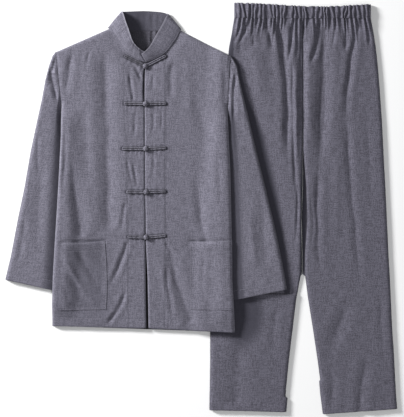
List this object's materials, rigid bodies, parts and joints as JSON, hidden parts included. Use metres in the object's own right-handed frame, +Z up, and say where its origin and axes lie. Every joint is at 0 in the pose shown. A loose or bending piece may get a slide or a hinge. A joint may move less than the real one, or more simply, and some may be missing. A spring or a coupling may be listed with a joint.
{
  "type": "tai chi uniform, jacket and trousers",
  "caption": "Tai chi uniform laid flat: jacket with standing collar, knotted frog fastenings and patch pockets, its left side lying on wide trousers with a gathered elastic waist.",
  "frame": {"origin": "on the surface that the suit lies on, under the middle of its outline", "axes": "+Z up off the surface, +Y from the hems to the collar, +X to the right as the suit is seen from above"},
  "size_m": [0.981, 1.027, 0.0232],
  "materials": {
    "cloth": "slate grey cotton and linen plain weave, matt, with fine slubs",
    "cord": "slate grey bias-cut cloth rolled into cord, matt"
  },
  "bodies": {
    "root": {"jacket_back": "cloth", "jacket_front_right": "cloth", "jacket_front_left": "cloth", "pocket_right": "cloth", "pocket_left": "cloth", "sleeve_right": "cloth", "sleeve_left": "cloth", "collar": "cloth", "frog_1_right": "cord", "frog_1_left": "cord", "frog_1_knot": "cord", "frog_2_right": "cord", "frog_2_left": "cord", "frog_2_knot": "cord", "frog_3_right": "cord", "frog_3_left": "cord", "frog_3_knot": "cord", "frog_4_right": "cord", "frog_4_left": "cord", "frog_4_knot": "cord", "frog_5_right": "cord", "frog_5_left": "cord", "frog_5_knot": "cord", "trouser_back_right": "cloth", "trouser_back_left": "cloth", "trouser_front_right": "cloth", "trouser_front_left": "cloth", "waistband": "cloth"}
  },
  "joints": []
}
